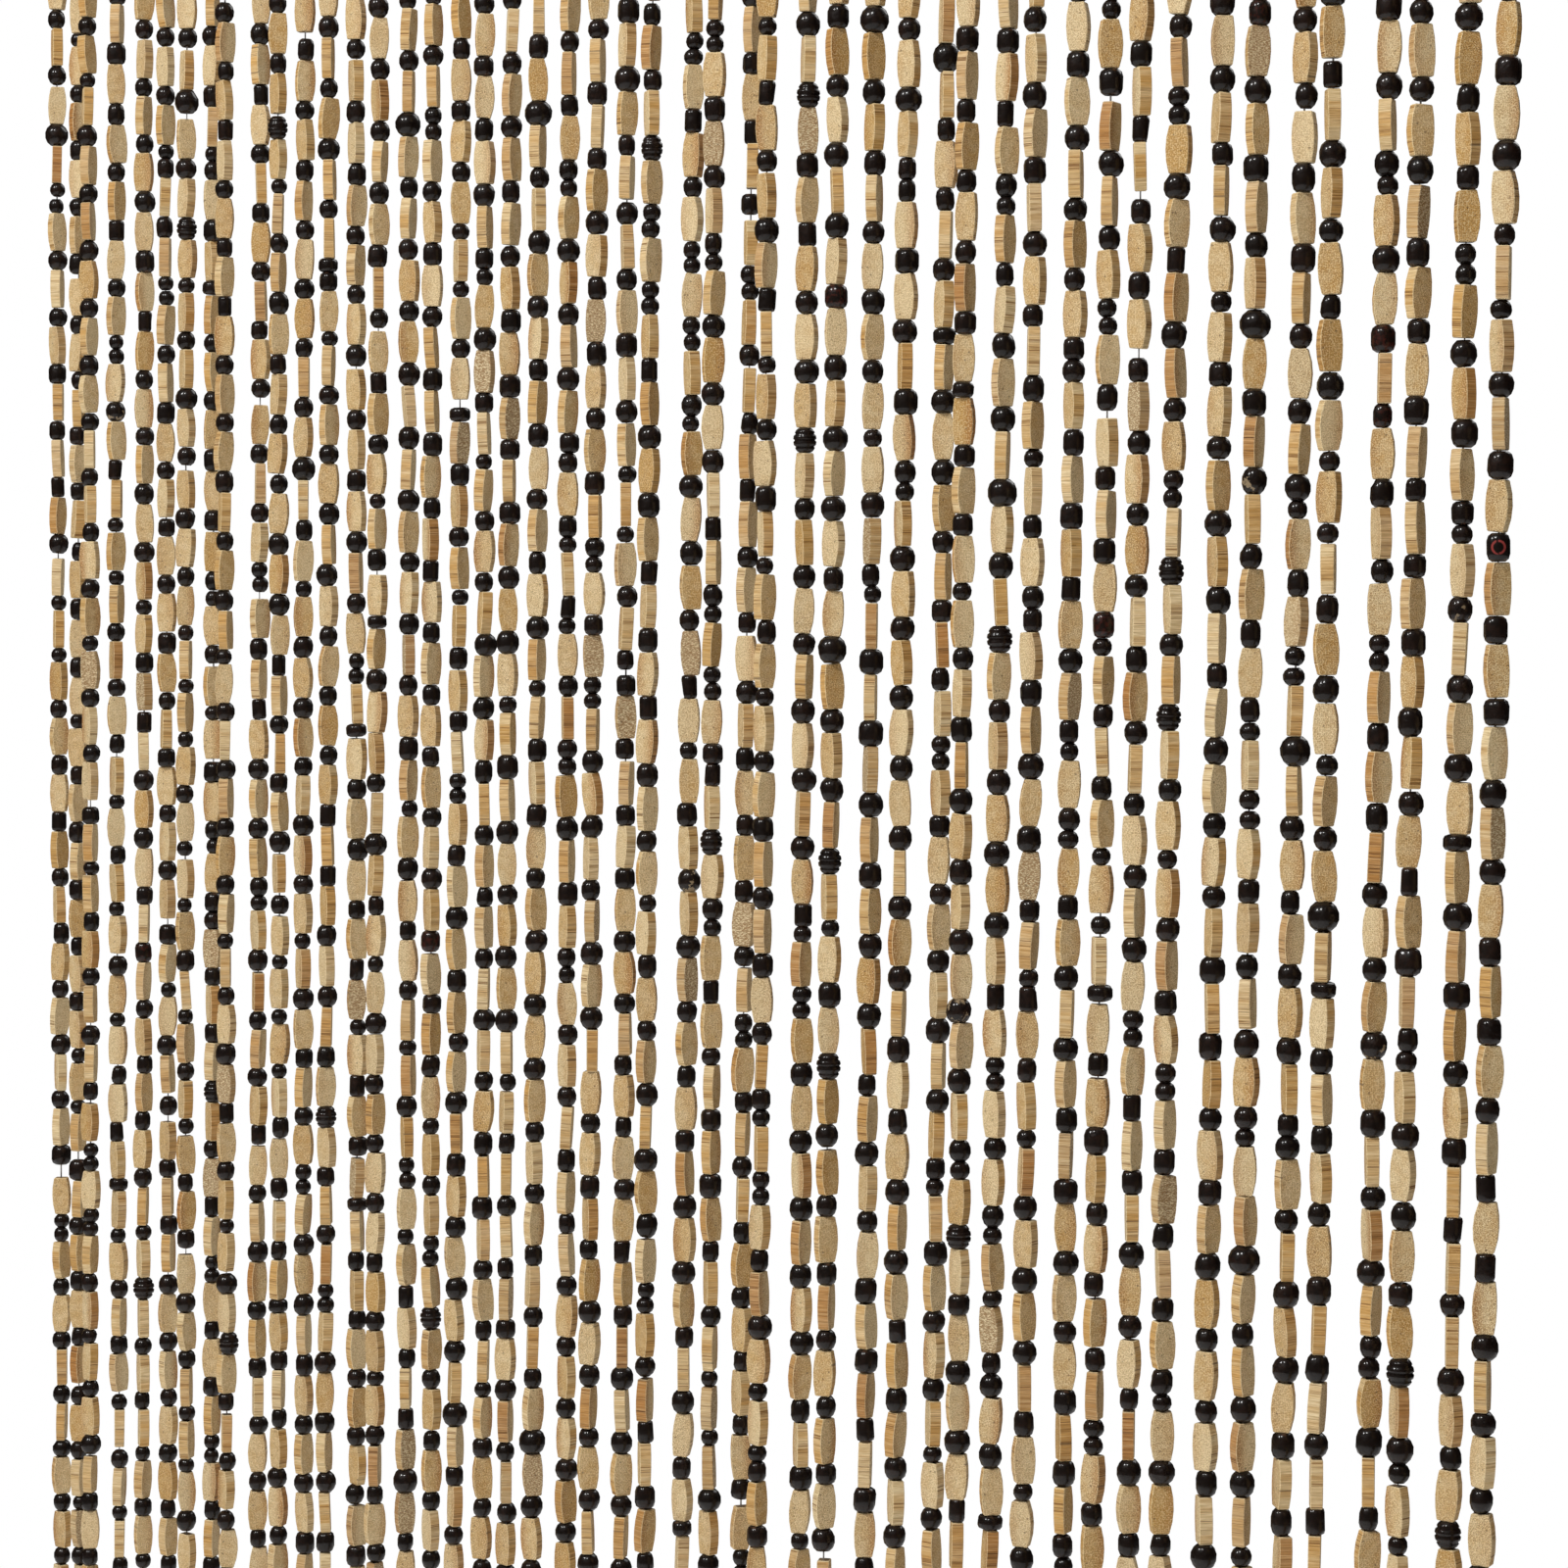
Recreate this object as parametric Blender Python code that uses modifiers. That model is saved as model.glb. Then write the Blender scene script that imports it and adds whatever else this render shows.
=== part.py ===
"""Bead curtain: bead strands hanging side by side from a plain heading strip.

The solids carry each strand as a four-sided rod of the beads' mean width, hanging where the
strand hangs, with its root fused into the strip. Units are metres, +Z is up, the width runs
along X and the front faces -Y. The origin is the middle of the strip's top edge.
"""

import math
from collections import namedtuple

import bmesh
import bpy
from mathutils import Vector

COLLECTION_NAME = "Bead curtain"
CURTAIN_NODE = "bead_strands"

CURTAIN_WIDTH = 0.900
CURTAIN_HEIGHT = 2.000

HEADING_HEIGHT = 0.015
HEADING_DEPTH = 0.022
HEADING_EDGE = 0.0012
HEADING_EDGE_STEPS = 2

STRAND_COUNT = 49
STRAND_PITCH = CURTAIN_WIDTH / STRAND_COUNT
STRAND_SIDE = 0.0066
STRAND_RINGS = 13
STRAND_STAGGER = 0.0014
ROOT_SINK = 0.006
END_SPREAD = 0.009

SWAY = 0.0006
SWAY_LENGTH = 1.15
SWAY_FADE = 0.30
GOLDEN = (math.sqrt(5.0) - 1.0) / 2.0

# A few strands hang off the even pitch, by the same amount sideways and backwards.
Drift = namedtuple("Drift", "strand offset_mm")
DRIFTS = (
    Drift(0, 2.3),
    Drift(2, -2.3),
    Drift(3, -1.6),
    Drift(4, 1.4),
    Drift(6, 0.6),
    Drift(8, -1.8),
    Drift(11, -1.0),
    Drift(16, 1.2),
    Drift(17, -0.5),
    Drift(18, 0.7),
    Drift(19, -1.3),
    Drift(22, 0.6),
    Drift(25, 1.7),
    Drift(26, 1.3),
    Drift(27, 1.2),
    Drift(28, -1.8),
    Drift(31, 0.5),
    Drift(32, 1.9),
    Drift(33, 1.7),
    Drift(35, -0.6),
    Drift(36, -0.5),
    Drift(39, -2.1),
    Drift(40, -1.2),
    Drift(41, -0.9),
    Drift(44, -1.1),
    Drift(45, 1.5),
    Drift(47, 1.0),
    Drift(48, 0.5),
)
DRIFT_OF = {row.strand: row.offset_mm / 1000.0 for row in DRIFTS}

WOOD_COLOR = (0.62, 0.44, 0.24, 1.0)
WOOD_ROUGHNESS = 0.55
WOOD_METALLIC = 0.0


def clear_scene():
    """Remove every object that the file opened with."""
    for item in list(bpy.data.objects):
        bpy.data.objects.remove(item, do_unlink=True)


def make_collection(name):
    """Make a collection in the scene and return it."""
    collection = bpy.data.collections.new(name)
    bpy.context.scene.collection.children.link(collection)
    return collection


def make_material(name, color, roughness, metallic):
    """Make a Principled material and return it."""
    material = bpy.data.materials.new(name)
    material.use_nodes = True
    shader = material.node_tree.nodes["Principled BSDF"]
    shader.inputs["Base Color"].default_value = color
    shader.inputs["Roughness"].default_value = roughness
    shader.inputs["Metallic"].default_value = metallic
    material.diffuse_color = color
    return material


def link_mesh(bm, name, collection):
    """Turn a bmesh into a linked object and free the bmesh."""
    mesh = bpy.data.meshes.new(name)
    bm.to_mesh(mesh)
    bm.free()
    item = bpy.data.objects.new(name, mesh)
    collection.objects.link(item)
    return item


def strand_end(strand):
    """Return how far below the top edge a strand ends: they differ by a few millimetres."""
    return CURTAIN_HEIGHT - END_SPREAD * ((strand * GOLDEN) % 1.0)


def strand_axis(strand, drop):
    """Return the point of a strand's axis at a drop below the top edge.

    Strands stand at an even pitch, every other one set back, a few have drifted, and each
    sways by under a millimetre on its way down.
    """
    drift = DRIFT_OF.get(strand, 0.0)
    row = STRAND_STAGGER if strand % 2 else -STRAND_STAGGER
    turn = 2.0 * math.pi * (drop / SWAY_LENGTH + strand * GOLDEN)
    sway = SWAY * min(1.0, drop / SWAY_FADE)
    across = (strand - (STRAND_COUNT - 1) / 2.0) * STRAND_PITCH
    return Vector((across + drift + sway * math.sin(turn), row + drift + sway * math.cos(turn),
                   -drop))


def add_strand(bm, strand):
    """Add one strand to a bmesh: a square rod, ringed along its length and laid on its axis."""
    top = HEADING_HEIGHT - ROOT_SINK
    length = strand_end(strand) - top
    first = len(bm.verts)
    rod = bmesh.ops.create_cube(bm, size=1.0)["verts"]
    bmesh.ops.scale(bm, vec=(STRAND_SIDE, STRAND_SIDE, length), verts=rod)
    bmesh.ops.translate(bm, vec=(0.0, 0.0, -top - length / 2.0), verts=rod)
    long_edges = [edge for edge in {edge for vert in rod for edge in vert.link_edges}
                  if edge.calc_length() > length / 2.0]
    bmesh.ops.subdivide_edges(bm, edges=long_edges, cuts=STRAND_RINGS, use_grid_fill=True)
    bm.verts.ensure_lookup_table()
    for vert in bm.verts[first:]:
        axis = strand_axis(strand, -vert.co.z)
        vert.co.x += axis.x
        vert.co.y += axis.y


def build_strands(collection):
    """Build all the strands as one helper, which the heading strip is joined to."""
    bm = bmesh.new()
    for strand in range(STRAND_COUNT):
        add_strand(bm, strand)
    bmesh.ops.recalc_face_normals(bm, faces=bm.faces)
    strands = link_mesh(bm, "strand_rods", collection)
    strands.hide_render = True
    strands.display_type = "WIRE"
    return strands


def build_curtain(collection, strands, material):
    """Build the heading strip and fuse the strands' roots into it."""
    bm = bmesh.new()
    strip = bmesh.ops.create_cube(bm, size=1.0)["verts"]
    bmesh.ops.scale(bm, vec=(CURTAIN_WIDTH, HEADING_DEPTH, HEADING_HEIGHT), verts=strip)
    bmesh.ops.translate(bm, vec=(0.0, 0.0, -HEADING_HEIGHT / 2.0), verts=strip)
    curtain = link_mesh(bm, CURTAIN_NODE, collection)
    curtain.data.materials.append(material)
    strands.data.materials.append(material)
    edge = curtain.modifiers.new("Eased edges", "BEVEL")
    edge.width = HEADING_EDGE
    edge.segments = HEADING_EDGE_STEPS
    join = curtain.modifiers.new("Fused roots", "BOOLEAN")
    join.operation = "UNION"
    join.solver = "EXACT"
    join.object = strands
    return curtain


def main():
    """Build the bead curtain."""
    clear_scene()
    parts = make_collection(COLLECTION_NAME)
    helpers = make_collection("Helpers")
    wood = make_material("Bamboo bead wood", WOOD_COLOR, WOOD_ROUGHNESS, WOOD_METALLIC)
    strands = build_strands(helpers)
    build_curtain(parts, strands, wood)


main()
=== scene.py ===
"""Bead curtain: 49 strands of bamboo slab beads and black-brown wooden beads on string.

Every bead is modelled. A bead form is made once with mesh operators, and its copies are joined
into a few pieces. All lengths are in metres unless a name ends in _mm, +Z is up, the curtain's
width runs along X and its front faces -Y.
"""

import logging
import math
from dataclasses import dataclass
from enum import Enum

import bmesh
import bpy
import numpy as np
from mathutils import Matrix, Vector

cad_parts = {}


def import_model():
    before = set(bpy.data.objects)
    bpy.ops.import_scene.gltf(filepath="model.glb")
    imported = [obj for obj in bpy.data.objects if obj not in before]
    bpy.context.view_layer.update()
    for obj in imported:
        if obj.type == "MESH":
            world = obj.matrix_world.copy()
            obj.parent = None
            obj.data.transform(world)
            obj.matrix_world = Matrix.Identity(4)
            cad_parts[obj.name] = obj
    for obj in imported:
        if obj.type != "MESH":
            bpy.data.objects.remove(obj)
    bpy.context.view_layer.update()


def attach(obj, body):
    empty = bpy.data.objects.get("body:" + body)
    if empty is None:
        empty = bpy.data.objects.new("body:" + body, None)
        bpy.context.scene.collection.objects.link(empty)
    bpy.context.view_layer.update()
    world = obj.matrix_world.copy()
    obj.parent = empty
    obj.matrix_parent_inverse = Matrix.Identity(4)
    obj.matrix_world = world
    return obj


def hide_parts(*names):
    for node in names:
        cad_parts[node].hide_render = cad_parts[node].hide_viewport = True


LOG = logging.getLogger("bead_curtain")

ROOT_BODY = "root"
CURTAIN_NODE = "bead_strands"
MM = 0.001
GOLDEN = (math.sqrt(5.0) - 1.0) / 2.0
BAKE_MAP = "OFBake"
LOCAL = "bead_local"
LOOK = "bead_look"
FACE = "bead_face"
# A bead's look is three numbers from 0 to 1; one that is MARKED or RINGED gives it a mark.
MARKED = 1.0
RINGED = 2.0
# How far a bead's look shifts its textures.
LOOK_SHIFT = (170.0, 90.0, 230.0)
# How much of a face's normal lies along an axis where it faces that way, lies flat to it, or
# leans towards it.
FACING = 0.85
FLAT = 0.25
ASLANT = 0.35

Socket = bpy.types.NodeSocket
Color = tuple[float, float, float, float]


class Slot(Enum):
    """The record's material slots."""

    BAMBOO = "bamboo"
    DARK_WOOD = "dark_wood"
    STRING = "string"
    HEADING = "heading_wood"


class Form(Enum):
    """The forms that a wooden bead is turned to."""

    BALL = "ball"
    BARREL = "barrel"
    CUBE = "cube"
    CYLINDER = "cylinder"
    RIDGED = "ridged"


@dataclass(frozen=True)
class CurtainSizes:
    """The driving sizes of the curtain, the same as those of its solids."""

    width: float = 0.900
    height: float = 2.000
    heading_height: float = 0.015
    heading_depth: float = 0.022
    heading_edge: float = 0.0012
    strands: int = 49
    stagger: float = 0.0014
    end_spread: float = 0.009
    sway: float = 0.0006
    sway_length: float = 1.15
    sway_fade: float = 0.30

    @property
    def pitch(self) -> float:
        """The distance between neighbouring strands."""
        return self.width / self.strands


@dataclass(frozen=True)
class Drift:
    """A strand that hangs off the even pitch, as far sideways as backwards."""

    strand: int
    offset_mm: float


DRIFTS = (
    Drift(0, 2.3),
    Drift(2, -2.3),
    Drift(3, -1.6),
    Drift(4, 1.4),
    Drift(6, 0.6),
    Drift(8, -1.8),
    Drift(11, -1.0),
    Drift(16, 1.2),
    Drift(17, -0.5),
    Drift(18, 0.7),
    Drift(19, -1.3),
    Drift(22, 0.6),
    Drift(25, 1.7),
    Drift(26, 1.3),
    Drift(27, 1.2),
    Drift(28, -1.8),
    Drift(31, 0.5),
    Drift(32, 1.9),
    Drift(33, 1.7),
    Drift(35, -0.6),
    Drift(36, -0.5),
    Drift(39, -2.1),
    Drift(40, -1.2),
    Drift(41, -0.9),
    Drift(44, -1.1),
    Drift(45, 1.5),
    Drift(47, 1.0),
    Drift(48, 0.5),
)
DRIFT_OF = {row.strand: row.offset_mm * MM for row in DRIFTS}


@dataclass(frozen=True)
class StrandLine:
    """Where one strand hangs."""

    sizes: CurtainSizes
    strand: int

    @property
    def end(self) -> float:
        """How far below the top edge the strand ends."""
        return self.sizes.height - self.sizes.end_spread * ((self.strand * GOLDEN) % 1.0)

    def axis(self, drop: float) -> Vector:
        """Find a point of the strand's axis.

        Args:
            drop: how far the point is below the top edge.

        Returns:
            The point.
        """
        sizes = self.sizes
        drift = DRIFT_OF.get(self.strand, 0.0)
        row = sizes.stagger if self.strand % 2 else -sizes.stagger
        turn = 2.0 * math.pi * (drop / sizes.sway_length + self.strand * GOLDEN)
        sway = sizes.sway * min(1.0, drop / sizes.sway_fade)
        across = (self.strand - (sizes.strands - 1) / 2.0) * sizes.pitch
        return Vector((across + drift + sway * math.sin(turn),
                       row + drift + sway * math.cos(turn), -drop))


def add_object(name: str, data: bpy.types.ID) -> bpy.types.Object:
    """Add an object to the scene and return it."""
    made = bpy.data.objects.new(name, data)
    bpy.context.scene.collection.objects.link(made)
    return made


def take_mesh(bm: bmesh.types.BMesh, name: str) -> bpy.types.Mesh:
    """Turn a bmesh into a mesh, and free it."""
    mesh = bpy.data.meshes.new(name)
    bm.to_mesh(mesh)
    bm.free()
    return mesh


@dataclass
class Blank:
    """One bead form as arrays, ready to be repeated.

    points holds the vertices, corners the vertex of each face corner, starts each face's first
    corner, places each corner's place on the unrolled bead, and kinds what each face is: an
    eased edge, an end, or a narrow side.
    """

    points: np.ndarray
    corners: np.ndarray
    starts: np.ndarray
    places: np.ndarray
    kinds: np.ndarray


@dataclass(frozen=True)
class Unroller:
    """Lays a bead's surface out flat: round the string to the right, along it upwards."""

    seam: float = 0.0
    edge: float = 0.03
    end_share: float = 0.1
    pole: float = 1.0e-5

    def angle(self, point: Vector) -> float:
        """Measure the angle of a point round the string, from the seam."""
        return (math.atan2(point.y, point.x) - self.seam) % (2.0 * math.pi)

    def place(self, face: bmesh.types.BMFace, point: Vector, half: float) -> tuple[float, float]:
        """Find where a face's corner lies on the unrolled bead.

        Args:
            face: the face.
            point: the corner's place on the bead.
            half: half of the bead's length.

        Returns:
            The place, from 0 to 1 both ways.
        """
        middle = self.angle(face.calc_center_median())
        at_pole = math.hypot(point.x, point.y) < self.pole
        round_string = middle if at_pole else self.angle(point)
        if round_string - middle > math.pi:
            round_string -= 2.0 * math.pi
        elif middle - round_string > math.pi:
            round_string += 2.0 * math.pi
        along = 0.5 + 0.5 * (1.0 - 2.0 * self.end_share) * point.z / half
        if at_pole:
            along = 1.0 if point.z > 0.0 else 0.0
        room = 1.0 - 2.0 * self.edge
        return (self.edge + room * round_string / (2.0 * math.pi), self.edge + room * along)


def make_blank(bm: bmesh.types.BMesh, unroller: Unroller) -> Blank:
    """Turn a finished bead into arrays and free its bmesh.

    Args:
        bm: the bead, centred on the string, which runs along Z.
        unroller: how its surface is laid out.

    Returns:
        The arrays.
    """
    bmesh.ops.recalc_face_normals(bm, faces=bm.faces)
    bm.normal_update()
    bm.verts.index_update()
    half = max(abs(vert.co.z) for vert in bm.verts)
    corners, starts, places, kinds = [], [], [], []
    for face in bm.faces:
        normal = face.normal
        starts.append(len(corners))
        level = abs(normal.z)
        eased = FLAT < level < FACING or (
            level < FLAT and min(abs(normal.x), abs(normal.y)) > ASLANT)
        kinds.append((float(eased), float(level >= FACING), float(abs(normal.x) > FACING)))
        for vert in face.verts:
            corners.append(vert.index)
            places.append(unroller.place(face, vert.co, half))
    points = np.array([vert.co for vert in bm.verts])
    bm.free()
    return Blank(points, np.array(corners), np.array(starts), np.array(places), np.array(kinds))


def dip_holes(bm: bmesh.types.BMesh, ends: list[bmesh.types.BMFace], dip: float) -> None:
    """Sink the middle of each end of a bead, where the string goes in.

    Args:
        bm: the bead.
        ends: its end faces.
        dip: how deep the middle goes.
    """
    for vert in bmesh.ops.poke(bm, faces=ends)["verts"]:
        vert.co.x = vert.co.y = 0.0
        vert.co.z -= math.copysign(dip, vert.co.z)


@dataclass(frozen=True)
class SlabBead:
    """A bamboo slab bead: a flat piece with a barrel outline, drilled along its length."""

    length: float = 0.0189
    width: float = 0.00885
    end_width: float = 0.0058
    thickness: float = 0.0048
    edge: float = 0.00024
    end_edge: float = 0.00040
    end_rise: float = 0.00040
    hole_dip: float = 0.0009
    barrel_power: float = 2.1
    uneven: tuple[float, float, float] = (0.018, 0.016, 0.03)
    straightest: float = 0.45
    chip_mm: float = 0.35
    chip_from: float = 0.9
    end_normal: float = 0.9
    rows: int = 3
    variants: int = 8
    seed: int = 11

    def half_width(self, along: float) -> float:
        """Give half of the outline's width at a place from -1 to 1 along the bead."""
        swell = 1.0 - min(1.0, abs(along)) ** self.barrel_power
        return (self.end_width + (self.width - self.end_width) * swell) / 2.0

    def long_edges(self, bm: bmesh.types.BMesh) -> list[bmesh.types.BMEdge]:
        """Find the edges that run the bead's length."""
        return [edge for edge in bm.edges if edge.calc_length() > self.length / 2.0]

    def ends(self, bm: bmesh.types.BMesh) -> list[bmesh.types.BMFace]:
        """Find the faces at the bead's ends."""
        return [face for face in bm.faces if abs(face.normal.z) > self.end_normal]

    def blank(self, rng: np.random.Generator) -> Blank:
        """Cut one slab bead.

        Args:
            rng: where the small differences between beads come from.

        Returns:
            The bead at real size.
        """
        bm = bmesh.new()
        bmesh.ops.create_cube(bm, size=1.0)
        size = Vector((self.width, self.thickness, self.length - 2.0 * self.end_rise))
        bmesh.ops.scale(bm, vec=size, verts=bm.verts)
        bmesh.ops.bevel(bm, geom=self.long_edges(bm), offset=self.edge, offset_type="OFFSET",
                        segments=1, profile=0.5, affect="EDGES", material=-1)
        bmesh.ops.inset_individual(bm, faces=self.ends(bm), thickness=self.end_edge,
                                   depth=self.end_rise)
        bmesh.ops.subdivide_edges(bm, edges=self.long_edges(bm), cuts=self.rows,
                                  use_grid_fill=True)
        self.shape_outline(bm, rng)
        dip_holes(bm, self.ends(bm), self.hole_dip)
        return make_blank(bm, Unroller(seam=math.atan2(-self.thickness, self.width)))

    def shape_outline(self, bm: bmesh.types.BMesh, rng: np.random.Generator) -> None:
        """Draw the broad face in to its barrel outline, a little unevenly.

        Args:
            bm: the bead.
            rng: where the unevenness comes from.
        """
        lean, skew, taper = rng.normal(0.0, self.uneven)
        straight = rng.uniform(0.0, self.straightest, 2)
        chipped_end = (1.0, -1.0, 0.0, 0.0)[rng.integers(0, 4)]
        for vert in bm.verts:
            along = vert.co.z / (self.length / 2.0)
            side = math.copysign(1.0, vert.co.x)
            inset = self.width / 2.0 - abs(vert.co.x)
            drawn_in = self.half_width(along) - self.width / 2.0
            vert.co.x = side * (self.width / 2.0 - inset
                                + drawn_in * (1.0 - straight[int(side > 0.0)]))
            vert.co.x += lean * along * self.width + skew * along * along * self.width
            vert.co.y *= 1.0 + taper * along
            if along * chipped_end > self.chip_from and side > 0.0:
                vert.co.z -= math.copysign(self.chip_mm * MM, along)


@dataclass(frozen=True)
class TurnedBead:
    """A wooden bead turned round the string, of half-width 1 and half-height 1."""

    form: Form
    roundness: float
    end_angle: float
    squareness: float = 2.0
    rows: int = 6
    segments: int = 12
    lumps: float = 0.02
    flats: int = 0
    flat_rise: tuple[float, float] = (-0.5, 0.9)
    flat_reach: tuple[float, float] = (0.90, 0.97)
    rim: float = 0.97
    hole_dip: float = 0.12

    def profile(self) -> list[tuple[float, float]]:
        """Work out the turned outline, from the lower end to the upper one.

        Returns:
            Distances from the string, each with its height.
        """
        if self.form is Form.RIDGED:
            return self.ridged_profile()
        last = math.radians(self.end_angle)
        power = 2.0 / self.roundness
        top = math.sin(last) ** power
        outline = []
        for row in range(self.rows):
            angle = last * (2.0 * row / (self.rows - 1) - 1.0)
            rise = math.copysign(abs(math.sin(angle)) ** power, angle) / top
            outline.append((math.cos(angle) ** power, rise if row * 2 != self.rows - 1 else 0.0))
        return outline

    def ridged_profile(self) -> list[tuple[float, float]]:
        """Work out the outline of a bead with ridges turned round it."""
        ridges, steps, groove, bulge = 4, 4, 0.87, 0.70
        outline = []
        for row in range(ridges * steps + 1):
            height = 2.0 * row / (ridges * steps) - 1.0
            reach = math.sqrt(1.0 - bulge * height * height)
            outline.append((reach * (1.0 if row % steps else groove), height))
        return outline

    def blank(self, rng: np.random.Generator) -> Blank:
        """Turn one bead.

        Args:
            rng: where the small differences between beads come from.

        Returns:
            The bead, of half-width 1 and half-height 1.
        """
        bm = bmesh.new()
        row = [bm.verts.new((reach, 0.0, height)) for reach, height in self.profile()]
        edges = [bm.edges.new(pair) for pair in zip(row, row[1:])]
        bmesh.ops.spin(bm, geom=row + edges, axis=(0.0, 0.0, 1.0), cent=(0.0, 0.0, 0.0),
                       angle=2.0 * math.pi, steps=self.segments, use_merge=True)
        rims = [edge for edge in bm.edges if edge.is_boundary]
        bmesh.ops.holes_fill(bm, edges=rims, sides=self.segments)
        self.square_off(bm)
        self.dent(bm, rng)
        dip_holes(bm, [face for face in bm.faces if len(face.verts) > 4], self.hole_dip)
        return make_blank(bm, Unroller())

    def square_off(self, bm: bmesh.types.BMesh) -> None:
        """Bring the section from a circle towards a square with round corners."""
        for vert in bm.verts:
            reach = math.hypot(vert.co.x, vert.co.y)
            across, deep = abs(vert.co.x) / reach, abs(vert.co.y) / reach
            stretch = (across ** self.squareness + deep ** self.squareness) ** (
                -1.0 / self.squareness)
            vert.co.x *= stretch
            vert.co.y *= stretch

    def dent(self, bm: bmesh.types.BMesh, rng: np.random.Generator) -> None:
        """Make the bead a little lumpy and sand a few flats on it.

        Args:
            bm: the bead.
            rng: where the dents lie.
        """
        pulls = rng.normal(0.0, 1.0, (3, 3))
        for vert in bm.verts:
            swell = sum(math.sin(2.0 * vert.co.dot(Vector(pull)) + pull[0]) for pull in pulls)
            stretch = 1.0 + self.lumps * swell / 2.0
            vert.co.x *= stretch
            vert.co.y *= stretch
        for _ in range(self.flats):
            angle, rise = rng.uniform(0.0, 2.0 * math.pi), rng.uniform(*self.flat_rise)
            facing = Vector((math.cos(angle), math.sin(angle), rise)).normalized()
            reach = rng.uniform(*self.flat_reach)
            for vert in bm.verts:
                beyond = vert.co.dot(facing) - reach
                if beyond > 0.0 and abs(vert.co.z) < self.rim:
                    vert.co -= facing * beyond


@dataclass(frozen=True)
class WoodenKind:
    """One kind of wooden bead: its letter in the charts, its forms and its sizes.

    The share is how common the kind is where no chart says which bead comes next.
    """

    letter: str
    forms: tuple[Form, ...]
    share: float
    width_mm: tuple[float, float]
    height_mm: tuple[float, float]
    tilt: float = 3.0


WOODEN_KINDS = (
    WoodenKind("B", (Form.BALL,), 0.21, (9.6, 10.5), (9.35, 10.25), 6.0),
    WoodenKind("b", (Form.BALL,), 0.27, (8.6, 9.5), (8.35, 9.25), 6.0),
    WoodenKind("s", (Form.BALL,), 0.11, (7.5, 8.3), (6.5, 7.4), 6.0),
    WoodenKind("O", (Form.BALL,), 0.015, (11.4, 12.3), (10.4, 11.2), 3.0),
    WoodenKind("C", (Form.BARREL, Form.CUBE), 0.14, (8.0, 9.0), (9.55, 10.55), 3.0),
    WoodenKind("c", (Form.BARREL, Form.CUBE), 0.15, (7.4, 8.2), (8.45, 9.35), 3.0),
    WoodenKind("Q", (Form.BARREL,), 0.02, (9.3, 10.1), (9.9, 10.9), 3.0),
    WoodenKind("L", (Form.CYLINDER,), 0.05, (6.6, 7.6), (9.3, 10.3), 2.5),
    WoodenKind("R", (Form.RIDGED,), 0.017, (9.6, 10.3), (10.0, 11.0), 2.0),
    WoodenKind("W", (Form.CUBE,), 0.015, (8.5, 9.4), (5.9, 6.6), 4.0),
)
KIND_OF = {kind.letter: kind for kind in WOODEN_KINDS}
PAIR_WORDS = ("ss", "ss", "ss", "bs", "cs")
WOODEN_FORMS = (
    TurnedBead(Form.BALL, roundness=2.0, end_angle=61.0, flats=0),
    TurnedBead(Form.BALL, roundness=2.15, end_angle=60.0, flats=1, lumps=0.03),
    TurnedBead(Form.BARREL, roundness=3.1, end_angle=66.0, flats=1),
    TurnedBead(Form.BARREL, roundness=2.7, end_angle=64.0, flats=1, lumps=0.03),
    TurnedBead(Form.CUBE, roundness=3.4, end_angle=68.0, squareness=3.2),
    TurnedBead(Form.CYLINDER, roundness=6.5, end_angle=74.0, flats=1),
    TurnedBead(Form.RIDGED, roundness=2.0, end_angle=60.0, lumps=0.01),
)
FORM_VARIANTS = 4


@dataclass(frozen=True)
class Chart:
    """Which wooden beads follow each other down a strand, as far as the photograph shows.

    A word stands for what is threaded between two slab beads: a letter for each wooden bead,
    or a dash where two slab beads meet. After a letter, a star marks a chipped bead, a plus a
    reddish one, and an o one with a worn red ring. The rows are the photograph's, counted from
    its top, in which the first bead of upper, the first of lower and the last bead have their
    middles.
    """

    strand: int
    rows_px: tuple[int, int, int]
    upper: str
    lower: str


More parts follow.
